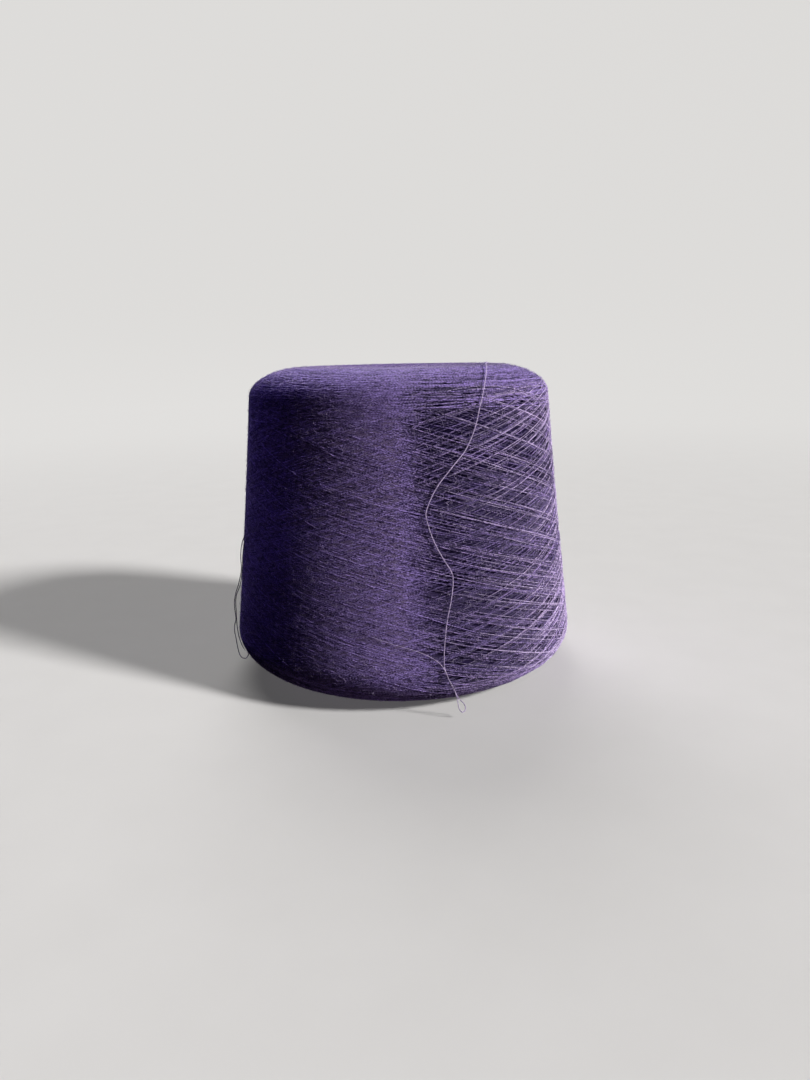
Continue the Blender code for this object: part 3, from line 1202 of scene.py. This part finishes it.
SLACK_STRAND = (
    RoutePoint(-69.0, 81.4, 70.4),
    RoutePoint(-71.5, 81.9, 67.0),
    RoutePoint(-73.5, 82.3, 63.1),
    RoutePoint(-74.0, 82.7, 58.9),
    RoutePoint(-74.0, 83.1, 55.3),
    RoutePoint(-75.0, 83.7, 50.3),
    RoutePoint(-76.5, 84.8, 44.5),
    RoutePoint(-77.0, 86.5, 40.5),
    RoutePoint(-77.0, 87.3, 36.6),
    RoutePoint(-77.0, 87.4, 32.0),
    RoutePoint(-77.0, 87.5, 26.4),
    RoutePoint(-76.0, 87.4, 22.6),
    RoutePoint(-74.0, 87.1, 19.3),
    RoutePoint(-72.0, 86.6, 17.1),
    RoutePoint(-70.0, 86.1, 15.6),
    RoutePoint(-68.5, 85.5, 14.4),
)


def smooth_route(route: Sequence[RoutePoint], step: float) -> list[Vector]:
    """Points along the smooth curve through a route.

    Args:
        route: the places that the curve passes.
        step: about how far apart the points are.

    Returns:
        The points in metres, the route's own ends included.
    """
    knots = [place.point() for place in route]
    padded = [2 * knots[0] - knots[1], *knots, 2 * knots[-1] - knots[-2]]
    points = []
    for a, b, c, d in zip(padded, padded[1:], padded[2:], padded[3:]):
        steps = max(1, round((c - b).length / step))
        for k in range(steps):
            t = k / steps
            points.append(
                0.5 * (2 * b + (c - a) * t + (2 * a - 5 * b + 4 * c - d) * t**2 + (3 * b - a - 3 * c + d) * t**3)
            )
    return [*points, knots[-1]]


@dataclass
class PliedTree:
    """The tree that twists two plies round a path."""

    def build(self) -> GeometryTree:
        """Makes the tree.

        Returns:
            The tree, with the plies' sizes as its inputs.
        """
        tree = GeometryTree("two plies")
        step, pitch, ply_radius, tone, thin_share = tree.inputs(
            "Step", "Pitch", "Ply Radius", "Tone", "Thin Share"
        )
        sides = tree.input("Sides", "NodeSocketInt")
        material = tree.input("Material", "NodeSocketMaterial")
        path = {"Curve": tree.curve(tree.carrier), "Length": step}
        fine = tree.get("GeometryNodeResampleCurve", path, mode="LENGTH")
        parameter = tree.add("GeometryNodeSplineParameter")
        length = tree.out(parameter, "Length")
        slim = tree.rise(tree.out(parameter, "Factor"), 1.0 - thin_share, 1.0, 1.0, 0.45)
        marked = tree.store(tree.store(fine, "run", length), "tone", tone)
        normal = tree.out(tree.add("GeometryNodeInputNormal"))
        beside = tree.vectors("CROSS_PRODUCT", tree.out(tree.add("GeometryNodeInputTangent")), normal)
        joined = tree.add("GeometryNodeJoinGeometry")
        for half_turn in (0.0, math.pi):
            angle = length * TURN / pitch + half_turn
            out = tree.scaled(normal, tree.math("COSINE", angle) * ply_radius * slim)
            side = tree.scaled(beside, tree.math("SINE", angle) * ply_radius * slim)
            offset = {"Geometry": marked, "Offset": tree.vectors("ADD", out, side)}
            ply = tree.out(tree.add("GeometryNodeSetPosition", offset))
            tree.feed(joined.inputs[0], tree.tube(ply, ply_radius * 1.08, sides, slim))
        tree.close(tree.out(joined), material)
        return tree


@dataclass
class FreeStrand:
    """One free length of the yarn, from where it leaves the package to where it goes back in."""

    node: str
    route: Sequence[RoutePoint]
    finish: YarnFinish
    tone: float
    thin_share: float = 0.05
    diameter: float = 0.0005
    path_step: float = 0.001
    step: float = 0.0002
    twist_pitch: float = 0.0014

    def build(self, tree: GeometryTree) -> bpy.types.Object:
        """Args:
            tree: the tree that twists the plies.

        Returns:
            The strand.
        """
        path = smooth_route(self.route, self.path_step)
        length = sum((b - a).length for a, b in zip(path, path[1:]))
        values = {
            "Step": self.step,
            "Pitch": self.twist_pitch,
            "Ply Radius": self.diameter / 4,
            "Tone": self.tone,
            "Thin Share": self.thin_share,
            "Sides": 5,
            "Material": self.finish.material(),
        }
        piece = tree.run(self.node + "_yarn", chain_mesh(path), values)
        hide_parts(self.node)
        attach(piece, BODY)
        return piece


# ------------------------------------------------------------------------------------------------- studio


@dataclass
class Studio:
    """A plain pale floor that rises to a wall, soft light from the right, and the photograph's camera."""

    distance: float = 0.415
    camera_height: float = 0.1594
    pitch: float = 13.2
    yaw: float = 0.247
    roll: float = -1.2
    lens: float = 27.03
    light_distance: float = 3.0
    lamp_spread: tuple[float, float] = (0.36, 0.1)
    middle_height: float = 0.08
    floor_radius: float = 2.2
    sweep_radius: float = 1.5
    sweep_steps: int = 12
    wall_height: float = 4.0
    floor_sides: int = 64
    floor_tints: tuple[Tint, Tint] = ((0.6, 0.585, 0.57), (0.64, 0.625, 0.61))
    floor_glow: Tint = (1.0, 0.985, 0.965)
    floor_fade: Span = (0.25, 1.5)
    surround: Tint = (0.001, 0.001, 0.008)
    bounce: Tint = (0.46, 0.36, 0.48)
    bounce_way: Span = (58.0, -34.0)
    bounce_rise: Span = (0.6, 1.0)

    def camera(self) -> None:
        """Makes the camera and makes it the scene's own."""
        data = bpy.data.cameras.new("camera")
        data.lens = self.lens
        data.sensor_width = 36.0
        data.clip_start, data.clip_end = 0.01, 50.0
        camera = add_object("camera", data)
        pitch, yaw = math.radians(self.pitch), math.radians(self.yaw)
        look = Vector((math.sin(yaw) * math.cos(pitch), math.cos(yaw) * math.cos(pitch), -math.sin(pitch)))
        turn = look.to_track_quat("-Z", "Y").to_matrix() @ Matrix.Rotation(math.radians(self.roll), 3, "Z")
        camera.matrix_world = Matrix.Translation((0.0, -self.distance, self.camera_height)) @ turn.to_4x4()
        bpy.context.scene.camera = camera

    def light(
        self, name: str, azimuth: float, elevation: float, softness: float, strength: float
    ) -> bpy.types.Object:
        """Hangs a soft light so far off that it falls evenly.

        Args:
            name: the light's name.
            azimuth: where it hangs, in degrees from the front towards the right.
            elevation: how high it hangs, in degrees.
            softness: how wide it looks from the object, in degrees.
            strength: its strength in watts for each square metre.

        Returns:
            The light.
        """
        data = bpy.data.lights.new(name, "SUN")
        data.angle = math.radians(softness)
        data.energy = strength
        return self.hang(data, azimuth, elevation, self.light_distance)

    def lamp(
        self,
        name: str,
        azimuth: float,
        elevation: float,
        distance: float,
        strength: float,
        tint: tuple[float, float, float],
    ) -> bpy.types.Object:
        """Hangs a wide, low lamp near the object: soft round the package, but crisp across its turns.

        Args:
            name: the lamp's name.
            azimuth: where it hangs, in degrees from the front towards the right.
            elevation: how high it hangs, in degrees.
            distance: metres from the object's middle.
            strength: its strength at the object's middle, in watts for each square metre.
            tint: its colour.

        Returns:
            The lamp, which the camera doesn't see.
        """
        data = bpy.data.lights.new(name, "AREA")
        data.shape = "ELLIPSE"
        data.size, data.size_y = (spread * distance for spread in self.lamp_spread)
        data.energy = strength * math.pi * distance**2
        data.color = tint
        lamp = self.hang(data, azimuth, elevation, distance)
        lamp.visible_camera = False
        return lamp

    def hang(self, data: bpy.types.Light, azimuth: float, elevation: float, distance: float) -> bpy.types.Object:
        """Places a light round the object's middle and turns it to face the middle.

        Args:
            data: the light's settings.
            azimuth: degrees from the front towards the right.
            elevation: degrees above the level.
            distance: metres from the object's middle.

        Returns:
            The light.
        """
        light = add_object(data.name, data)
        way = direction(azimuth, elevation)
        light.location = way * distance + Vector((0.0, 0.0, self.middle_height))
        light.rotation_euler = (-way).to_track_quat("-Z", "Y").to_euler()
        return light

    def pair(self, light: bpy.types.Object, floor: bpy.types.Object, lit: bool) -> None:
        """Makes a light fall on the floor alone, or on all but the floor.

        Args:
            light: the light.
            floor: the floor.
            lit: whether the light falls on the floor.
        """
        receivers = bpy.data.collections.new(light.name + " receivers")
        receivers.objects.link(floor)
        receivers.collection_objects[0].light_linking.link_state = "INCLUDE" if lit else "EXCLUDE"
        light.light_linking.receiver_collection = receivers

    def floor_material(self) -> bpy.types.Material:
        """A pale matt finish that glows a little away from the object, like a lit backdrop.

        Returns:
            The finish.
        """
        glow = {"Emission Color": colour(*self.floor_glow)}
        tree = ShaderTree("pale floor", {"Roughness": 0.8, "Specular IOR Level": 0.1, **glow})
        away = tree.get("ShaderNodeVectorMath", {0: tree.place}, "Value", operation="LENGTH")
        far = tree.rise(away, *self.floor_fade)
        near = tree.blend(tree.noise(tree.place, 30.0, 4.0), *self.floor_tints)
        shade = tree.blend(far, near, (0.0, 0.0, 0.0))
        tree.set({"Emission Strength": far * 0.64 + 0.08, "Base Color": shade})
        return tree.material

    def floor(self) -> bpy.types.Object:
        """Lays the floor and its rise to the wall, which the camera sees but other surfaces don't see by diffuse or
        glossy light, and which casts no shadow.

        Returns:
            The floor.
        """
        section = [(0.3, 0.0), (1.0, 0.0)]
        for k in range(self.sweep_steps + 1):
            angle = math.pi / 2 * k / self.sweep_steps
            out = self.floor_radius + self.sweep_radius * math.sin(angle)
            section.append((out, self.sweep_radius * (1 - math.cos(angle))))
        section.append((self.floor_radius + self.sweep_radius, self.wall_height))
        sides = self.floor_sides
        points = [
            (radius * math.cos(TURN * k / sides), radius * math.sin(TURN * k / sides), height)
            for radius, height in section
            for k in range(sides)
        ]
        faces = []
        for ring in range(len(section) - 1):
            near, far = ring * sides, (ring + 1) * sides
            for k in range(sides):
                after = (k + 1) % sides
                faces.append((near + k, far + k, far + after, near + after))
        mesh = bpy.data.meshes.new("floor")
        mesh.from_pydata(points, [], [tuple(range(sides)), *faces])
        mesh.shade_smooth()
        mesh.materials.append(self.floor_material())
        floor = add_object("floor", mesh)
        floor.visible_diffuse = False
        floor.visible_glossy = False
        floor.visible_shadow = False
        return floor

    def world(self) -> None:
        """Gives the scene a faint cool surround, brighter where the floor on the right throws light up."""
        world = bpy.data.worlds.new("surround")
        world.use_nodes = True
        graph = Graph(world.node_tree)
        way = graph.get("ShaderNodeTexCoord", key="Generated")
        sides = {0: way, 1: direction(*self.bounce_way)}
        toward = graph.get("ShaderNodeVectorMath", sides, "Value", operation="DOT_PRODUCT")
        share = graph.rise(toward, *self.bounce_rise)
        shade = graph.blend(share, self.surround, self.bounce)
        graph.feed(world.node_tree.nodes["Background"].inputs["Color"], shade)
        bpy.context.scene.world = world

    def build(self) -> None:
        """Sets up everything but the camera."""
        floor = self.floor()
        lamps = (
            {"name": "key lamp", "azimuth": 58.0, "elevation": 28.0, "distance": 1.1, "strength": 4.1,
             "tint": (1.0, 0.975, 0.98)},
            {"name": "side lamp", "azimuth": 86.0, "elevation": -14.0, "distance": 0.3, "strength": 1.9,
             "tint": (1.0, 0.97, 0.9)},
            {"name": "fill lamp", "azimuth": -96.0, "elevation": 60.0, "distance": 0.45, "strength": 0.62,
             "tint": (0.38, 0.28, 1.0)},
        )
        for settings in lamps:
            self.pair(self.lamp(**settings), floor, lit=False)
        floor_light = self.light("floor light", azimuth=63.0, elevation=28.0, softness=9.0, strength=4.6)
        self.pair(floor_light, floor, lit=True)
        self.light("back light", azimuth=192.0, elevation=45.0, softness=40.0, strength=1.3)
        self.world()
        bpy.context.scene.view_settings.view_transform = "Standard"


def main() -> None:
    """Builds the scene in order: camera, free strands, package, studio."""
    logging.basicConfig(level=logging.INFO, format="%(message)s")
    studio = Studio()
    studio.camera()
    # One yarn in lit and shaded copies. Painted shade: the packed side's purple yarn is darker, for shade among
    # packed fibres. Painted light: base and open yarn are lighter copies for the open winding.
    wound = YarnFinish("purple yarn", dark=(0.026, 0.016, 0.06), light=(0.35, 0.252, 0.62))
    base = replace(wound, name="base yarn", light=(0.41, 0.295, 0.63), fleck_contrast=3.6, middle=0.42)
    yarns = {
        YarnPlace.SIDE: wound,
        YarnPlace.BASE: base,
        YarnPlace.OPEN: YarnFinish("open yarn", dark=(0.09, 0.065, 0.15), light=(0.57, 0.465, 0.72)),
        # Painted shade: a darker copy of the yarn for the foot, ends and bore.
        YarnPlace.EDGE: replace(wound, name="edge yarn", light=(0.27, 0.195, 0.41), tone_contrast=1.1),
    }
    # Painted light: a lighter copy of the yarn, with a high tone below, for the loose end.
    loose = YarnFinish("loose yarn", dark=(0.3, 0.24, 0.38), light=(0.55, 0.46, 0.66))
    # Painted shade: a darker copy of the yarn for the slack turns, which lie in shade.
    slack = YarnFinish("slack yarn", dark=(0.05, 0.035, 0.085), light=(0.2, 0.15, 0.28))
    tree = PliedTree().build()
    strands = [
        FreeStrand("loose_end", LOOSE_END, loose, 0.7, thin_share=0.26),
        FreeStrand("slack_loop", SLACK_LOOP, slack, 0.4),
        FreeStrand("slack_strand", SLACK_STRAND, slack, 0.3),
    ]
    pieces = [strand.build(tree) for strand in strands]
    package = Package(
        Outline(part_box("wound_yarn")[1][2]),
        yarns,
        # Painted light: a lighter copy of the yarn for the fuzz fibres.
        YarnFinish("fuzz", dark=(0.2, 0.15, 0.3), light=(0.6, 0.5, 0.76)),
        # Painted shade: a darker copy of the yarn for the bed that shows in the gaps.
        BedFinish("packed yarn", dark=(0.035, 0.024, 0.07), light=(0.24, 0.175, 0.34)),
    )
    pieces += package.build()
    for piece in pieces:
        log.info("%s: %d triangles", piece.name, sum(len(p.vertices) - 2 for p in piece.data.polygons))
    studio.build()


if __name__ == "__main__":
    main()
